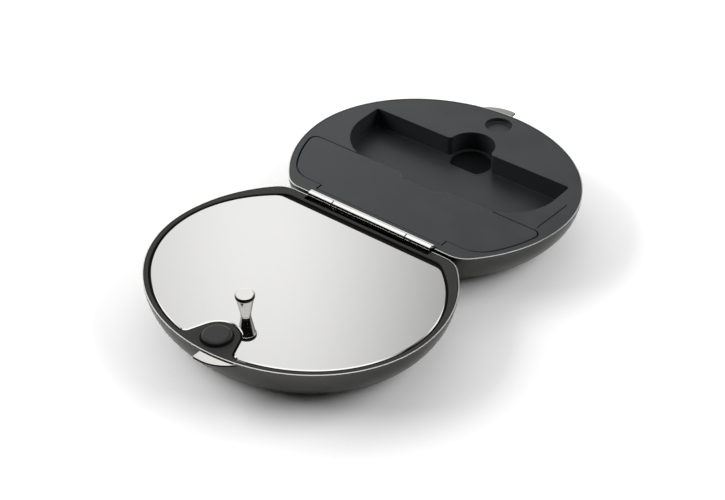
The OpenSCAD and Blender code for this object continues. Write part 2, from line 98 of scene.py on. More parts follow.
# Paper half: deck, pocket, knob well, filter compartment with its cover, catch dimple and slit
DECK_TOP, DECK_LOW, DECK_EDGE_R = -0.2, -3.1, 0.2
CUP_WALL, CUP_BORDER = 1.0, 4.6
POCKET_FAR, POCKET_NEAR, POCKET_HALF, POCKET_CORNER_R, SWEEP_R = 66.6, 33.0, 47.6, 1.2, 22.8
POCKET_FLOOR = DECK_TOP - 8.6
WELL_U, KNOB_WELL_R, MOUTH_R = 67.8, 9.6, 2.0
RECESS_NEAR, RECESS_IN, RECESS_CORNER_R = 61.8, 0.9, 2.0
RECESS_FLOOR = POCKET_FLOOR - 1.2
FILTER_NEAR, FILTER_FAR, FILTER_HALF, FILTER_R, FILTER_FLOOR = 9.5, 30.2, 34, 5, -12.5
COVER_FAR, COVER_BORDER, COVER_T, COVER_BACK = 34.3, 3.3, 1.5, 8.0
COVER_FAR_R, COVER_BACK_R, COVER_EDGE_R = 3.0, 13.0, 0.45
TONGUE_U, TONGUE_HALF = 4.7, 30.2
NOTCH_DEPTH, NOTCH_FLOOR, NOTCH_HALF = 3.1, 7.5, 11
DIMPLE_R, DIMPLE_FLOOR, DIMPLE_CUP_LOW = 5.65, DECK_TOP - 1.9, -5.3
SLIT_START, SLIT_END = Vector((35.8, -52.4)), Vector((55.5, -53.3))
SLIT_WIDTH, SLIT_DEPTH = 0.45, 0.8

# The cover is drawn in a little and its seat let out, so that the gap between them shows
COVER_IN, TONGUE_IN, SEAT_OUT, TONGUE_OUT, SEAT_GROWN = 0.2, 0.1, 0.25, 0.2, 0.2

# Hinge: barrel, its recess in both halves, and the leaves
AXIS_H, BARREL_R, BARREL_LEN, MIDDLE_KNUCKLE, KNUCKLE_GAP = 0.2, 1.8, 59.0, 35.0, 0.15
TOBACCO_RECESS, PAPER_RECESS, RECESS_LOW, RECESS_END = 3.65, 2.4, -2.2, 0.4
LEAF_T, LEAF_REACH, LEAF_BEND, LEAF_HEEL, LEAF_BEVEL = 0.8, 5.6, 0.5, 0.6, 0.2

# Thumb tabs
TAB_REACH, TAB_R, TAB_Y, TAB_END, TAB_TOP, TAB_T = 99.8, 17.0, 2.0, 0.15, -0.6, 0.9
TAB_ROOT, TAB_BEVEL = 2.5, 0.08

# Profiles of the turned pieces: radius, height and the finish of the strip below
KNOB_U = 71.7
# The knob's THIRD strips, round its head, carry the painted dark reflection
KNOB_PROFILE = [
    (2.05, 0), (1.9, 0.15, SECOND), (1.9, 0.5, SECOND), (1.97, 1.0, SECOND), (2.1, 1.8, SECOND),
    (3.22, 7.6, SECOND), (3.43, 7.95, SECOND),
    (3.56, 8.2, THIRD), (3.6, 8.4, THIRD), (3.6, 9.15, THIRD), (3.57, 9.33, THIRD),
    (3.5, 9.45, THIRD), (3.38, 9.54, THIRD), (3.22, 9.59), (3.0, 9.6),
]
# The boss's SECOND strips, on its lower side, carry painted shade
BOSS_PROFILE = [
    (6.3, 0), (6.2, 0.06), (6.05, 0.2, SECOND), (5.75, 0.55, SECOND), (5.4, 1.0, SECOND),
    (5.15, 1.3), (4.98, 1.46), (4.78, 1.58), (4.55, 1.66), (4.3, 1.69), (4.05, 1.7),
]


# Loops of points, counterclockwise seen from above

def arc(centre, r, start, end, steps):
    """Points round a circle from start, which is left out, to end."""
    angles = [start + (end - start) * i / steps for i in range(1, steps + 1)]
    return [Vector((centre[0] + r * math.cos(a), centre[1] + r * math.sin(a))) for a in angles]


def circle(centre, r):
    return arc(centre, r, 0, 2 * math.pi, 96)


def mirrored(side):
    """Closes a loop from its points with y >= 0, where the first may lie on the middle line."""
    first = 1 if abs(side[0].y) < 1e-6 else 0
    return side + [Vector((p.x, -p.y)) for p in reversed(side[first:])]


def grown(loop, distance):
    """The loop moved outwards, or inwards for a negative distance."""
    points = []
    for i, p in enumerate(loop):
        a, b = p - loop[i - 1], loop[(i + 1) % len(loop)] - p
        na, nb = Vector((a.y, -a.x)).normalized(), Vector((b.y, -b.x)).normalized()
        points.append(p + (na + nb) * distance / (1 + na.dot(nb)))
    return points


def heading(direction):
    return math.atan2(direction.y, direction.x)


def crossing(test, low, high):
    """Where test turns from true to false between low and high."""
    halvings = 48
    for _ in range(halvings):
        middle = (low + high) / 2
        low, high = (middle, high) if test(middle) else (low, middle)
    return low


class Outline:
    """A half seen from above: half an ellipse on each side of its widest line.

    heel is the half axis of the one towards the hinge.
    """

    def __init__(self, heel):
        self.heel = heel

    def bow(self, t, s):
        """Point at angle t, with the outline scaled by s about the middle of its widest line."""
        reach = BOW if math.cos(t) > 0 else self.heel
        return Vector((WIDEST + reach * s * math.cos(t), HALF_WIDTH * s * math.sin(t)))

    def normal(self, t):
        reach = BOW if math.cos(t) > 0 else self.heel
        return Vector((math.cos(t) / reach, math.sin(t) / HALF_WIDTH)).normalized()

    def edge(self, t, inset, s=1.0):
        return self.bow(t, s) - inset * self.normal(t)

    def run(self, inset, start, end, steps, s=1.0):
        return [self.edge(start + (end - start) * i / steps, inset, s) for i in range(steps + 1)]

    def touch(self, inset, centre_u, r, s=1.0):
        """Angle at which a corner circle with its centre at centre_u touches the outline."""
        return crossing(lambda t: self.edge(t, inset + r, s).x > centre_u, 0, math.pi)

    def round_back(self, inset, back, r, start, steps=72, s=1.0):
        """Points with y >= 0 from angle start along the bow and round the corner to the back."""
        t = self.touch(inset, back + r, r, s)
        corner = arc(self.edge(t, inset + r, s), r, heading(self.normal(t)), math.pi, 16)
        return self.run(inset, start, t, steps, s) + corner

    def loop(self, inset, back, r, s=1.0):
        return mirrored(self.round_back(inset, back, r, 0, s=s))


CASE, LID = Outline(CASE_HEEL), Outline(LID_HEEL)


def case_loop(inset):
    return CASE.loop(inset, BACK + inset, CORNER - inset)


def well_loop(inset):
    """Mouth of the tobacco well moved in by inset, flattened beyond the widest line."""
    r = max(WELL_CORNER_R - inset, WELL_LEAST_R)
    loop = LID.loop(WELL_BORDER + inset, WELL_BACK + inset, r)

    def flattened(u):
        return WIDEST + (u - WIDEST) * WELL_SQUEEZE if u > WIDEST else u

    return [Vector((flattened(p.x), p.y)) for p in loop]


def horn():
    """Centre of the lid's horn, and the angle at which it touches the lid's outline."""
    across = Vector((-math.sin(HORN_ANGLE), math.cos(HORN_ANGLE)))
    start = Vector((CATCH_U, 0)) + CUTOUT_R * across
    inset = LID_BORDER + HORN_R
    t = crossing(lambda t: (LID.edge(t, inset) - start).dot(across) < HORN_R, 0, math.pi / 3)
    return LID.edge(t, inset), t


def cutout_side(gap):
    """The lid's cut-out from the middle line and round the horn, gap away from the lid."""
    centre, t = horn()
    turn = math.pi / 2 + HORN_ANGLE
    middle = Vector((CATCH_U - CUTOUT_R + gap, 0))
    hole = arc((CATCH_U, 0), CUTOUT_R - gap, math.pi, turn, 24)
    root = centre - (HORN_R + gap) * Vector((math.cos(turn), math.sin(turn)))
    tip = arc(centre, HORN_R + gap, turn - math.pi, heading(LID.normal(t)), 16)
    return [middle] + hole + [root] + tip


def lid_loop():
    t = horn()[1]
    back = LID.round_back(LID_BORDER, LID_BACK, LID_BACK_R, t)
    return mirrored(cutout_side(0) + back[1:])


def pad_loop():
    """The insert's pad in the lid's cut-out. Its far end runs on under the rim bead."""
    t = horn()[1]
    side = cutout_side(PAD_GAP)
    rim = CASE.run(BEAD_IN - PAD_UNDER_BEAD, t, 0, 24)
    return list(reversed(mirrored(side + rim)))


def pocket_loop():
    """Paper pocket with the round knob well in its far wall."""
    mouth_u = POCKET_FAR + MOUTH_R
    mouth_y = math.sqrt((KNOB_WELL_R + MOUTH_R) ** 2 - (mouth_u - WELL_U) ** 2)
    turn = math.atan2(mouth_y, mouth_u - WELL_U)
    far_corner = (POCKET_FAR - POCKET_CORNER_R, POCKET_HALF - POCKET_CORNER_R)
    sweep = (POCKET_NEAR + SWEEP_R, POCKET_HALF - SWEEP_R)
    return mirrored(
        [Vector((WELL_U + KNOB_WELL_R, 0))]
        + arc((WELL_U, 0), KNOB_WELL_R, 0, turn, 28)
        + arc((mouth_u, mouth_y), MOUTH_R, turn + math.pi, math.pi, 10)
        + [Vector((POCKET_FAR, far_corner[1]))]
        + arc(far_corner, POCKET_CORNER_R, 0, math.pi / 2, 8)
        + [Vector((sweep[0], POCKET_HALF))]
        + arc(sweep, SWEEP_R, math.pi / 2, math.pi, 40)
        + [Vector((POCKET_NEAR, 0))]
    )


def knob_recess_loop():
    """Deeper recess in the knob well's floor, straight on its near side."""
    r = KNOB_WELL_R - RECESS_IN
    centre_u = RECESS_NEAR + RECESS_CORNER_R
    centre_y = math.sqrt((r - RECESS_CORNER_R) ** 2 - (centre_u - WELL_U) ** 2)
    turn = math.atan2(centre_y, centre_u - WELL_U)
    return mirrored(
        [Vector((WELL_U + r, 0))]
        + arc((WELL_U, 0), r, 0, turn, 32)
        + arc((centre_u, centre_y), RECESS_CORNER_R, turn, math.pi, 8)
        + [Vector((RECESS_NEAR, 0))]
    )


def box_loop(u0, u1, half, r):
    """Rectangle with rounded corners, even about the middle line."""
    return mirrored(
        [Vector((u1, 0)), Vector((u1, half - r))]
        + arc((u1 - r, half - r), r, 0, math.pi / 2, 8)
        + arc((u0 + r, half - r), r, math.pi / 2, math.pi, 8)
        + [Vector((u0, 0))]
    )


def cover_loop(border, tongue_half, far):
    """Filter cover or its seat, its tongue towards the hinge. far is its far edge's middle part."""
    t = CASE.touch(border, COVER_FAR - COVER_FAR_R, COVER_FAR_R)
    centre = CASE.edge(t, border + COVER_FAR_R)
    return mirrored(
        [Vector(p) for p in far]
        + [Vector((COVER_FAR, centre.y))]
        + arc(centre, COVER_FAR_R, 0, heading(CASE.normal(t)), 8)
        + CASE.round_back(border, COVER_BACK, COVER_BACK_R, t, 20)[1:]
        + [Vector((COVER_BACK, tongue_half)), Vector((TONGUE_U, tongue_half))]
    )


def tab_loop(way, gap=0.0):
    """Thumb tab: an arc from its square end beside the middle to the rim, on the side way gives."""
    centre, r = Vector((TAB_REACH - TAB_R, -TAB_Y)), TAB_R + gap
    start = math.asin((TAB_Y - TAB_END + gap) / r)

    def root(y):
        return crossing(lambda t: CASE.edge(t, TAB_ROOT).y < y, -math.pi / 2, math.pi / 2)

    def outside(a):
        p = centre + r * Vector((math.cos(a), math.sin(a)))
        return p.x > CASE.edge(root(p.y), TAB_ROOT).x

    end = crossing(outside, start, -math.pi / 2)
    tip = centre + r * Vector((math.cos(start), math.sin(start)))
    curve = [tip] + arc(centre, r, start, end, 40)
    inner = CASE.run(TAB_ROOT, root(curve[-1].y), root(curve[0].y), 16)[1:]
    loop = [Vector((p.x, p.y * -way)) for p in curve + inner]
    return loop if way > 0 else list(reversed(loop))


# Solids

class Form:
    """A closed mesh under construction."""

    def __init__(self):
        self.bm = bmesh.new()

    def stack(self, levels):
        """Closed solid through levels of (loop, h) or (loop, h, finish of the strip up to it)."""
        return self.through([
            ([(p[0], p[1], h) for p in loop], *(finish or [MAIN])) for loop, h, *finish in levels
        ])

    def through(self, sections):
        """Closed solid through sections of (points, finish), all with the same number of points."""
        rings = [[self.bm.verts.new(point) for point in points] for points, _ in sections]
        finishes = [finish for _, finish in sections]
        for low, high, finish in zip(rings, rings[1:], finishes[1:]):
            for i in range(len(low)):
                j = (i + 1) % len(low)
                self.bm.faces.new((low[i], low[j], high[j], high[i])).material_index = finish
        self.bm.faces.new(list(reversed(rings[0]))).material_index = finishes[0]
        self.bm.faces.new(rings[-1]).material_index = finishes[-1]
        return self

    def mesh(self):
        """The finished mesh, with an empty place for each finish so that cuts keep them apart."""
        bmesh.ops.recalc_face_normals(self.bm, faces=self.bm.faces)
        mesh = bpy.data.meshes.new("part")
        self.bm.to_mesh(mesh)
        self.bm.free()
        for _ in (MAIN, SECOND, THIRD):
            mesh.materials.append(None)
        return mesh


def prism(loop, low, high, finish=MAIN):
    return Form().stack([(loop, low, finish), (loop, high, finish)])


def block(u0, u1, y0, y1, low, high, finish=MAIN):
    corners = [Vector(p) for p in ((u0, y0), (u1, y0), (u1, y1), (u0, y1))]
    return prism(corners, low, high, finish)


def plate(loop, low, high, bevel, foot, edge=MAIN, steps=1):
    """Flat plate, bevelled by foot below and, in steps, by bevel above. Its side has finish edge."""
    turns = [math.pi / 2 * i / steps for i in range(steps + 1)]
    over = [
        (grown(loop, -bevel * (1 - math.cos(a))), high - bevel * (1 - math.sin(a))) for a in turns
    ]
    over[0] = (*over[0], edge)
    return Form().stack([(grown(loop, -foot), low), (loop, low + foot, edge)] + over)


def turned(centre_u, profile, base=0.0):
    """Solid of revolution from a profile that starts at its bottom, at height base."""
    return Form().stack([
        (circle((centre_u, 0), r), base + h, *finish) for r, h, *finish in profile
    ])


def pit(loop, floor, level, fillet=0.5, mouth=0.15, finish=MAIN):
    """Cutter for a pit: floor and fillet of the given finish, and a rounded mouth at level."""
    low = [
        (grown(loop, -fillet * (1 - math.sin(a))), floor + fillet * (1 - math.cos(a)), finish)
        for a in QUARTER
    ]
    high = [
        (grown(loop, mouth * (1 - math.cos(a))), level - mouth + mouth * math.sin(a))
        for a in QUARTER
    ]
    return Form().stack(low + high + [(grown(loop, mouth), PAST)])


def side_profile(height):
    """Depth and scale down the shell's side: an ellipse, then a tangent curve to the underside."""
    steps = 14
    k = height / DEPTH
    s0 = math.sqrt(1 - (TURN_DEPTH / SIDE_DEPTH) ** 2)
    s1 = s0 - TURN_DEPTH / (SIDE_DEPTH ** 2 * s0) * (DEPTH - TURN_DEPTH)
    side = [TURN_DEPTH * i / steps for i in range(steps + 1)]
    points = [(d * k, math.sqrt(1 - (d / SIDE_DEPTH) ** 2)) for d in side]
    for i in range(1, steps + 1):
        f = i / steps
        g = 1 - f
        depth = k * (g * g * TURN_DEPTH + (1 - g * g) * DEPTH)
        points.append((depth, g * g * s0 + 2 * f * g * s1 + f * f * FLAT_SCALE))
    return points


def bowl_levels(inset, height, least_depth):
    """Levels of the shell's side from the bottom up, as far as least_depth below the rim."""
    return [
        (CASE.loop(inset, BACK + inset + BACK_LEAN * (1 - s), (CORNER - inset) * s, s), -d)
        for d, s in reversed(side_profile(height)) if d > least_depth
    ]


def shell_form():
    """Half shell as one skin: up the outside, over the lip, down its seat step and the inside."""
    clear_of_rim = 0.2
    turns = [math.radians(a) for a in (0, 20, 40, 60, 75, 90)]
    outside = bowl_levels(0, DEPTH, LIP_R + clear_of_rim)
    over = [
        (case_loop(LIP_R * (1 - math.cos(a))), LIP_R * (math.sin(a) - 1), SECOND) for a in turns
    ]
    over[0] = (*over[0][:2], MAIN)
    seat = [
        (case_loop(LIP_WIDTH - LIP_BREAK), 0, SECOND),
        (case_loop(LIP_WIDTH), -LIP_BREAK, SECOND),
        (case_loop(LIP_WIDTH), SEAT_STEP),
        (case_loop(WALL), SEAT_STEP),
    ]
    inside = bowl_levels(WALL, DEPTH - WALL, -SEAT_STEP + clear_of_rim)
    return Form().stack(outside + over + seat + list(reversed(inside)))


def insert_plate(low, top, r):
    """Insert under the rim, with a flange for the shell's seat step and an edge rounded by r."""
    flange = LIP_WIDTH + FLANGE_GAP
    levels = [
        (SKIRT_IN, low), (SKIRT_IN, SHOULDER), (NECK_IN, SHOULDER), (NECK_IN, SEAT_STEP),
        (flange, SEAT_STEP),
    ]
    levels += [(flange + r * (1 - math.cos(a)), top - r + r * math.sin(a)) for a in QUARTER]
    return Form().stack([(case_loop(inset), h) for inset, h in levels])


def lid_recess():
    """Cutter for the recess that the lid lies in. Its rounded mouth makes the rim a bead."""
    foot = 0.1

    def ring(move):
        return LID.loop(BEAD_IN - move, RECESS_BACK - move, RECESS_R)

    mouth = [
        (ring(BEAD_R * (1 - math.cos(a))), BEAD_TOP - BEAD_R * (1 - math.sin(a))) for a in QUARTER
    ]
    # The groove's wall and ledge take the SECOND finish, which paints them with shade
    groove = [(ring(-foot), LEDGE, SECOND), (ring(0), LEDGE + foot, SECOND), (*mouth[0], SECOND)]
    return Form().stack(groove + mouth[1:] + [(ring(BEAD_R), PAST)])


def well_form(inset, top, floor):
    """Tobacco well, which draws in and rounds off towards its floor."""
    draw_in, round_off = 7, 3
    shares = [0.1, 0.2, 0.3, 0.4, 0.5, 0.6, 0.68, 0.76, 0.83, 0.89, 0.94, 0.98, 1]
    levels = [
        (well_loop(inset + draw_in * f * f + round_off * f ** 8), top - (top - floor) * f)
        for f in reversed(shares)
    ]
    return Form().stack(levels + [(well_loop(inset), top)])


def catch_pad():
    """Pad in the lid's cut-out, its upper edge rounded in two steps."""
    side, halfway = pad_loop(), 0.3 * PAD_EDGE_R
    # Its side takes the SECOND finish, which paints it with shade
    return Form().stack([
        (side, LEDGE - LAP),
        (side, PAD_TOP - PAD_EDGE_R, SECOND),
        (grown(side, -halfway), PAD_TOP - halfway),
        (grown(side, -PAD_EDGE_R), PAD_TOP),
    ])


def slit():
    """Cutter for the fine slit beside the pocket."""
    aside = (SLIT_END - SLIT_START).orthogonal().normalized() * SLIT_WIDTH / 2
    return prism(
        [SLIT_START - aside, SLIT_END - aside, SLIT_END + aside, SLIT_START + aside],
        DECK_TOP - SLIT_DEPTH, PAST,
    )


def leaf_form(spans):
    """Hinge leaf: knuckles round the pin, each with a web down the back and a flange turned in."""
    web_u = BARREL_R - LEAF_T
    start = math.asin(-math.sqrt(BARREL_R ** 2 - web_u ** 2) / BARREL_R)
    round_pin = [Vector((web_u, AXIS_H + BARREL_R * math.sin(start)))]
    round_pin += arc((0, AXIS_H), BARREL_R, start, -2 * math.pi, 72)
    foot = [
        (BARREL_R, DECK_LOW + LEAF_BEND), (BARREL_R + LEAF_BEND, DECK_LOW),
        (LEAF_REACH, DECK_LOW), (LEAF_REACH, INSERT_LOW),
        (web_u + LEAF_HEEL, INSERT_LOW), (web_u, INSERT_LOW + LEAF_HEEL),
    ]
    section = round_pin + [Vector(p) for p in foot]
    section.reverse()
    form = Form()
    for a, b in spans:
        ends = [(a, -LEAF_BEVEL), (a + LEAF_BEVEL, 0), (b - LEAF_BEVEL, 0), (b, -LEAF_BEVEL)]
        form.through([
            ([(p.x, y, p.y) for p in grown(section, move)], MAIN) for y, move in ends
        ])
    return form


# Cuts for the hinge and the tabs, as boolean steps

def hinge_recess(reach, finish):
    # Its cut faces take finish, which every caller sets to the painted shade plastic, so the recess
    # is painted dark
    half = BARREL_LEN / 2 + RECESS_END
    return CUT, block(-PAST, reach, -half, half, RECESS_LOW, PAST, finish)


def leaf_slots(spans):
    """Slots in the shell's back that the leaf's webs pass through."""
    reach, low, high = BACK + 2 * WALL, INSERT_LOW - CLEAR, RECESS_LOW + CLEAR
    return [(CUT, block(-PAST, reach, a - CLEAR, b + CLEAR, low, high)) for a, b in spans]


def leaf_seats(spans):
    """Seats under the insert for the leaf's flanges."""
    reach, low = LEAF_REACH + CLEAR, INSERT_LOW - PAST
    return [(CUT, block(0, reach, a - CLEAR, b + CLEAR, low, DECK_LOW)) for a, b in spans]


def tab_slot(way):
    return CUT, prism(tab_loop(way, CLEAR), TAB_TOP - TAB_T - CLEAR, TAB_TOP + CLEAR)


# Pieces of the visible model

def temporary(form):
    thing = bpy.data.objects.new("part", form.mesh())
    bpy.context.scene.collection.objects.link(thing)
    return thing


def built(form, steps):
    """Mesh of form after the boolean steps, each an (operation, form)."""
    things = [temporary(form)]
    for operation, tool in steps:
        things.append(temporary(tool))
        step = things[0].modifiers.new(operation.lower(), "BOOLEAN")
        step.operation, step.object, step.solver = operation, things[-1], "EXACT"
    graph = bpy.context.evaluated_depsgraph_get()
    mesh = bpy.data.meshes.new_from_object(things[0].evaluated_get(graph))
    for thing in things:
        old = thing.data
        bpy.data.objects.remove(thing)
        bpy.data.meshes.remove(old)
    return mesh


def piece(name, node, body, side, finishes, form, steps=()):
    """Puts a form into the scene in place of a CAD node, on the given side of the hinge."""
    mesh = built(form, steps)
    bm = bmesh.new()
    bm.from_mesh(mesh)
    bmesh.ops.remove_doubles(bm, verts=bm.verts, dist=WELD)
    bmesh.ops.dissolve_degenerate(bm, edges=bm.edges, dist=WELD)
    for v in bm.verts:
        v.co = Vector((side * v.co.x * MM, v.co.y * MM, (RIM + v.co.z) * MM))
    for face in bm.faces:
        face.smooth = True
    bmesh.ops.recalc_face_normals(bm, faces=bm.faces)
    mesh.materials.clear()
    for finish in finishes:
        mesh.materials.append(finish)
    bm.to_mesh(mesh)
    bm.free()
    mesh.name = name
    mesh.set_sharp_from_angle(angle=SHARP)
    thing = bpy.data.objects.new(name, mesh)
    bpy.context.scene.collection.objects.link(thing)
    shading = thing.modifiers.new("flat faces stay flat", "WEIGHTED_NORMAL")
    shading.keep_sharp = True
    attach(thing, body)
    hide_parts(node)


# Finishes

class Socket:
    """A node's output that takes part in sums; each sum adds a Math node."""

    def __init__(self, graph, output):
        self.graph, self.output = graph, output

    def math(self, operation, first, second):
        inputs = {0: first, 1: second}
        return self.graph.out(self.graph.add("ShaderNodeMath", {"operation": operation}, inputs))

    def __add__(self, other):
        return self.math("ADD", self, other)

    def __sub__(self, other):
        return self.math("SUBTRACT", self, other)

    def __rsub__(self, other):
        return self.math("SUBTRACT", other, self)

    def __mul__(self, other):
        return self.math("MULTIPLY", self, other)

    __radd__, __rmul__ = __add__, __mul__


class Graph:
    """The node tree of a material or of the world."""

    def __init__(self, owner):
        owner.use_nodes = True
        self.tree = owner.node_tree
        self.tree.nodes.clear()

    def add(self, kind, settings=None, inputs=None):
        """New node: its settings first, then its inputs, each a plain value or a Socket."""
        node = self.tree.nodes.new(kind)
        for name, value in (settings or {}).items():
            setattr(node, name, value)
        for name, value in (inputs or {}).items():
            if isinstance(value, Socket):
                self.tree.links.new(value.output, node.inputs[name])
            else:
                node.inputs[name].default_value = value
        return node

    def out(self, node, output=0):
        return Socket(self, node.outputs[output])

    def ramp(self, value, start, end, low, high):
        """Smooth step from low to high as value runs from start to end."""
        inputs = {"Value": value, "From Min": start, "From Max": end, "To Min": low, "To Max": high}
        smooth = {"interpolation_type": "SMOOTHSTEP"}
        return self.out(self.add("ShaderNodeMapRange", smooth, inputs))

    def noise(self, scale, detail=2.0):
        """Noise over the piece's own coordinates, which are metres."""
        place = self.out(self.add("ShaderNodeTexCoord"), "Object")
        inputs = {"Vector": place, "Scale": scale, "Detail": detail}
        return self.out(self.add("ShaderNodeTexNoise", None, inputs))

    def dot(self, vector, direction):
        product = {"operation": "DOT_PRODUCT"}
        inputs = {0: vector, 1: direction}
        return self.out(self.add("ShaderNodeVectorMath", product, inputs), "Value")

    def blend(self, share, a, b):
        """Colour between a and b."""
        node = self.add("ShaderNodeMix", {"data_type": "RGBA"}, {0: share, 6: a, 7: b})
        return self.out(node, 2)


def between(a, b, share):
    """Runs from a to b as share runs from 0 to 1."""
    return a + (b - a) * share


def new_finish(
    name, colour, metallic, roughness, spread=0.0, grain=0.0, per_metre=0.0, shade=0.0, shine=0.5
):
    """Material whose roughness varies by spread and colour by shade, in patches of a centimetre.

    grain is the height of its surface in millimetres, at the noise scale per_metre, and shine the
    level of its reflection where it isn't metal.
    """
    material = bpy.data.materials.new(name)
    graph = Graph(material)
    cloud = graph.ramp(graph.noise(90.0), 0.3, 0.7, 0.0, 1.0)
    pale = tuple(min(c * (1 + shade), 1) for c in colour)
    shader = {
        "Base Color": graph.blend(cloud, (*colour, 1), (*pale, 1)),
        "Metallic": metallic,
        "Roughness": graph.ramp(cloud, 0.0, 1.0, roughness, roughness + spread),
        "Specular IOR Level": shine,
    }
    if grain:
        bump = {"Strength": 1.0, "Distance": grain * MM, "Height": graph.noise(per_metre, 3.0)}
        shader["Normal"] = graph.out(graph.add("ShaderNodeBump", None, bump))
    surface = graph.out(graph.add("ShaderNodeBsdfPrincipled", None, shader))
    graph.add("ShaderNodeOutputMaterial", None, {"Surface": surface})
    return material


SHELL_STEEL = new_finish(
    "shell_satin_steel", (0.072, 0.073, 0.069), metallic=1.0, roughness=0.32, spread=0.06,
    grain=0.002, per_metre=5000.0, shade=0.08,
)
LIP_STEEL = new_finish(
    "lip_bright_steel", (0.95, 0.93, 0.88), metallic=1.0, roughness=0.12, spread=0.04,
)
DECK_PLASTIC = new_finish(
    "insert_moulded_plastic", (0.0185, 0.0207, 0.0225), metallic=0.0, roughness=0.30, spread=0.05,
    grain=0.0015, per_metre=4000.0, shade=0.06,
)
SOFT_PLASTIC = new_finish(
    "insert_soft_plastic", (0.0160, 0.0153, 0.0149), metallic=0.0, roughness=0.52, spread=0.06,
    grain=0.002, per_metre=4000.0, shade=0.06, shine=0.33,
)
# Near-black plastic that paints shade: it darkens grooves, recesses, gaps and edges where shade
# falls
PAINTED_SHADE_PLASTIC = new_finish(
    "painted_shade_plastic", (0.005, 0.0045, 0.0045), metallic=0.0, roughness=0.70, spread=0.05,
    shine=0.1,
)
BOSS_PLASTIC = new_finish(
    "boss_moulded_plastic", (0.0165, 0.0165, 0.0165), metallic=0.0, roughness=0.40, spread=0.05,
    shine=0.38,
)
MIRROR_STEEL = new_finish(
    "lid_mirror_steel", (0.935, 0.93, 0.91), metallic=1.0, roughness=0.015,
)
POLISHED_STEEL = new_finish(
    "polished_steel", (0.95, 0.94, 0.91), metallic=1.0, roughness=0.06, spread=0.03,
)
KNOB_STEEL = new_finish(
    "knob_turned_steel", (0.50, 0.495, 0.475), metallic=1.0, roughness=0.14, spread=0.04,
)
# Near-black metal round the knob's head: a painted dark reflection
KNOB_PAINTED_REFLECTION = new_finish(
    "knob_painted_dark_reflection", (0.02, 0.02, 0.02), metallic=1.0, roughness=0.20, spread=0.05,
)
PLAIN_STEEL = new_finish(
    "plain_steel", (0.58, 0.58, 0.57), metallic=1.0, roughness=0.30, spread=0.10,
)
RUBBER = new_finish(
    "seal_rubber", (0.02, 0.02, 0.02), metallic=0.0, roughness=0.75, spread=0.05,
    grain=0.004, per_metre=3000.0,
)
FLOOR_WHITE = new_finish("floor_white", (0.98, 0.98, 0.98), metallic=0.0, roughness=1.0)

# Shells and tabs

outer_start = MIDDLE_KNUCKLE / 2 + KNUCKLE_GAP
outer_spans = [(-BARREL_LEN / 2, -outer_start), (outer_start, BARREL_LEN / 2)]
inner_spans = [(-MIDDLE_KNUCKLE / 2, MIDDLE_KNUCKLE / 2)]

# The shells' third finish paints shade into the hinge recess
piece(
    "shell_tobacco", "tobacco_shell", "tobacco_half", TOBACCO,
    [SHELL_STEEL, LIP_STEEL, PAINTED_SHADE_PLASTIC],
    shell_form(),
    [hinge_recess(TOBACCO_RECESS, THIRD)] + leaf_slots(outer_spans) + [tab_slot(-1)],
)
piece(
    "shell_paper", "paper_shell", "paper_half", PAPER,
    [SHELL_STEEL, LIP_STEEL, PAINTED_SHADE_PLASTIC],
    shell_form(),
    [hinge_recess(PAPER_RECESS, THIRD)] + leaf_slots(inner_spans) + [tab_slot(1)],
)
for name, node, body, side, way in (
    ("tab_tobacco", "tobacco_tab", "tobacco_half", TOBACCO, -1),
    ("tab_paper", "paper_tab", "paper_half", PAPER, 1),
):
    # The tab's side takes the painted shade plastic, a dark edge painted where shade falls
    tab = plate(tab_loop(way), TAB_TOP - TAB_T, TAB_TOP, TAB_BEVEL, TAB_BEVEL, edge=SECOND)
    piece(name, node, body, side, [POLISHED_STEEL, PAINTED_SHADE_PLASTIC], tab)

# Hinge

piece(
    "leaf_outer", "hinge_leaf_outer", "tobacco_half", TOBACCO,
    [POLISHED_STEEL],
    leaf_form(outer_spans),
)
piece(
    "leaf_inner", "hinge_leaf_inner", "paper_half", PAPER,
    [POLISHED_STEEL],
    leaf_form(inner_spans),
)

# Tobacco half

# The second finish paints shade on the lid groove, the pad's side and the hinge recess
piece(
    "insert_tobacco", "tobacco_insert", "tobacco_half", TOBACCO,
    [SOFT_PLASTIC, PAINTED_SHADE_PLASTIC],
    insert_plate(INSERT_LOW, BEAD_TOP, BEAD_EDGE_R),
    [
        (CUT, lid_recess()),
        (JOIN, catch_pad()),
        (JOIN, well_form(-WELL_WALL, INSERT_LOW + CLEAR, -WELL_DEPTH - WELL_WALL)),
        (CUT, prism(well_loop(-SEAL_BORDER), SEAL_SEAT, PAST)),
        (CUT, well_form(0, SEAL_SEAT + OVERLAP, -WELL_DEPTH)),
        hinge_recess(TOBACCO_RECESS, SECOND),
        tab_slot(-1),
    ] + leaf_seats(outer_spans),
)
# Its second finish paints shade on the boss's lower side
piece(
    "boss", "catch_boss", "tobacco_half", TOBACCO,
    [BOSS_PLASTIC, PAINTED_SHADE_PLASTIC],
    turned(CATCH_U, BOSS_PROFILE, base=PAD_TOP),
)

# Lid and knob

piece(
    "lid", "lid_plate", "tobacco_lid", TOBACCO,
    [MIRROR_STEEL, SHELL_STEEL],
    plate(lid_loop(), LEDGE, LID_TOP, bevel=LID_BEVEL, foot=0.1, edge=SECOND),
)
# Its third finish is the painted dark reflection round the head
piece(
    "knob", "lid_knob", "tobacco_lid", TOBACCO,
    [POLISHED_STEEL, KNOB_STEEL, KNOB_PAINTED_REFLECTION],
    turned(KNOB_U, KNOB_PROFILE, base=LID_TOP),
)

# Paper half

pocket, knob_recess = pocket_loop(), knob_recess_loop()
filter_box = box_loop(FILTER_NEAR, FILTER_FAR, FILTER_HALF, FILTER_R)
dimple = circle((CATCH_U, 0), DIMPLE_R)
dimple_cup = circle((CATCH_U, 0), DIMPLE_R + CUP_WALL)

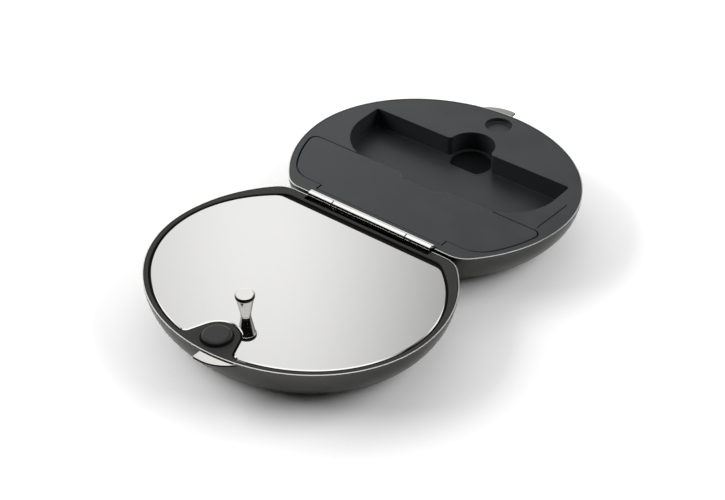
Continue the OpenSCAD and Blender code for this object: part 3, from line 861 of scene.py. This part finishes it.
notch_u, cover_low = COVER_FAR - NOTCH_DEPTH, DECK_TOP - COVER_T
notch = [(notch_u, 0), (notch_u, NOTCH_FLOOR), (COVER_FAR, NOTCH_HALF)]
cover_outline = cover_loop(COVER_BORDER + COVER_IN, TONGUE_HALF - TONGUE_IN, notch)
cover_seat = cover_loop(COVER_BORDER - SEAT_OUT, TONGUE_HALF + TONGUE_OUT, [(COVER_FAR, 0)])
cover_seat = grown(cover_seat, SEAT_GROWN)

piece(
    "insert_paper", "paper_insert", "paper_half", PAPER,
    [DECK_PLASTIC, PAINTED_SHADE_PLASTIC],
    prism(grown(pocket, CUP_WALL), POCKET_FLOOR - CUP_WALL, DECK_LOW + LAP),
    [
        (KEEP, prism(case_loop(CUP_BORDER), -DEPTH, 0)),
        (JOIN, insert_plate(DECK_LOW, DECK_TOP, DECK_EDGE_R)),
        (JOIN, prism(grown(knob_recess, CUP_WALL), RECESS_FLOOR - CUP_WALL, DECK_LOW)),
        (JOIN, prism(grown(filter_box, CUP_WALL), FILTER_FLOOR - CUP_WALL, DECK_LOW + LAP)),
        (JOIN, prism(dimple_cup, DIMPLE_CUP_LOW, DECK_LOW + LAP)),
        (CUT, pit(pocket, POCKET_FLOOR, DECK_TOP, fillet=0.12)),
        # The knob recess's floor and fillet take the second finish, painted shade
        (CUT, pit(knob_recess, RECESS_FLOOR, POCKET_FLOOR, fillet=0.2, mouth=0.1, finish=SECOND)),
        (CUT, pit(filter_box, FILTER_FLOOR, cover_low - CLEAR)),
        (CUT, pit(cover_seat, cover_low - CLEAR, DECK_TOP, fillet=0.05, mouth=0.1)),
        (CUT, pit(dimple, DIMPLE_FLOOR, DECK_TOP, fillet=0.4, mouth=0.25)),
        # The hinge recess takes the second finish, painted shade
        hinge_recess(PAPER_RECESS, SECOND),
        tab_slot(1),
        (CUT, slit()),
    ],
)
piece(
    "cover", "filter_cover", "filter_flap", PAPER,
    [DECK_PLASTIC],
    plate(cover_outline, cover_low, DECK_TOP, bevel=COVER_EDGE_R, foot=0.1, steps=6),
)

# CAD nodes that are shown as they are

for finish, slot, names in (
    (DECK_PLASTIC, "insert_plastic", ["lid_liner"]),
    (RUBBER, "seal_rubber", ["lid_seal"]),
    (PLAIN_STEEL, "plain_steel", [
        "catch_magnet", "catch_plate", "knob_screw",
        "hinge_pin", "leaf_rivets_outer", "leaf_rivets_inner",
    ]),
):
    for name in names:
        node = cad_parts[name]
        node.data.materials.clear()
        node.data.materials.append(finish)

# Camera, in metres from here on

AZIMUTH, ELEVATION, DISTANCE = math.radians(-51.937), math.radians(36.753), 0.6226
TARGET = Vector((-16.18, -9.08, 18.0)) * MM
AHEAD = Vector((-math.sin(AZIMUTH), math.cos(AZIMUTH), 0))
RIGHT = Vector((math.cos(AZIMUTH), math.sin(AZIMUTH), 0))
UP = Vector((0, 0, 1))
BACKWARD = Vector((
    math.sin(AZIMUTH) * math.cos(ELEVATION),
    -math.cos(AZIMUTH) * math.cos(ELEVATION),
    math.sin(ELEVATION),
))

camera = bpy.data.objects.new("camera", bpy.data.cameras.new("camera"))
camera.data.lens = 82.9
camera.data.sensor_width = 36.0
camera.data.sensor_fit = "HORIZONTAL"
camera.data.clip_start = 0.01
camera.location = TARGET + BACKWARD * DISTANCE
camera.rotation_euler = BACKWARD.to_track_quat("Z", "Y").to_euler()
bpy.context.scene.collection.objects.link(camera)
bpy.context.scene.camera = camera

# Floor, a hair below the box

FLOOR_R, FLOOR_DROP = 0.55, 0.0001
floor_mesh = bpy.data.meshes.new("floor")
floor_edge = [(p.x, p.y, 0) for p in circle((0, 0), FLOOR_R)]
floor_mesh.from_pydata(floor_edge, [], [range(len(floor_edge))])
floor_mesh.materials.append(FLOOR_WHITE)
floor = bpy.data.objects.new("floor", floor_mesh)
floor.location.z = -FLOOR_DROP
bpy.context.scene.collection.objects.link(floor)


# Light

def panel_light(name, place, width, depth, power):
    """Soft panel aimed at the object, which no reflection shows."""
    lamp = bpy.data.lights.new(name, "AREA")
    lamp.shape, lamp.size, lamp.size_y, lamp.energy = "RECTANGLE", width, depth, power
    thing = bpy.data.objects.new(name, lamp)
    thing.location = place
    thing.rotation_euler = place.to_track_quat("Z", "Y").to_euler()
    thing.visible_glossy = False
    bpy.context.scene.collection.objects.link(thing)


# Low panels on the left, on the right and behind the object, so that its shadow falls towards the
# camera: how far ahead, to the right and up, then the width and the power
PANEL_DEPTH = 0.5
for name, ahead_m, right_m, up_m, width, power in (
    ("left", 0.22, -0.74, 0.42, 0.8, 9.2),
    ("right", 0.05, 0.78, 0.50, 0.8, 7.0),
    ("back", 0.75, 0.0, 0.50, 1.2, 3.4),
):
    place = UP * up_m + AHEAD * ahead_m + RIGHT * right_m
    panel_light(name, place, width, PANEL_DEPTH, power)

# The world is a studio: a wall ahead of the camera, which pales towards the floor and darkens to
# the right, a bright ceiling, and a dark room behind the camera. Metal reflects it in full, other
# surfaces get a share of its light, and the camera itself sees white.
WHITE, CEILING = 1.05, 1.15
world = bpy.data.worlds.new("studio")
bpy.context.scene.world = world
sky = Graph(world)
ray = sky.out(sky.add("ShaderNodeTexCoord"), "Generated")
ahead, aside, up = sky.dot(ray, AHEAD), sky.dot(ray, RIGHT), sky.dot(ray, UP)
wall = sky.ramp(aside, -0.055, 0.10, 0.90, 0.30) * sky.ramp(aside, -0.15, -0.065, 0.80, 1.0)
wall = wall * sky.ramp(up, 0.58, 0.72, 1.0, 0.80)
wall = between(wall, WHITE, sky.ramp(up, 0.30, 0.48, 1.0, 0.0))
wall = between(wall, CEILING, sky.ramp(up, 0.70, 0.85, 0.0, 1.0))
room = sky.ramp(up, 0.54, 0.72, 0.005, 1.12)
facing = sky.ramp(ahead, -0.20, 0.25, 0.0, 1.0)
path = sky.add("ShaderNodeLightPath")
reflected, seen = sky.out(path, "Is Glossy Ray"), sky.out(path, "Is Camera Ray")
share = between(facing * 0.40 + 0.12, 1.0, reflected)
strength = between(between(room, wall, facing) * share, WHITE, seen)
backdrop = sky.add("ShaderNodeBackground", None, {"Color": (1, 1, 1, 1), "Strength": strength})
sky.add("ShaderNodeOutputWorld", None, {"Surface": sky.out(backdrop)})

bpy.context.scene.view_settings.view_transform = "Standard"
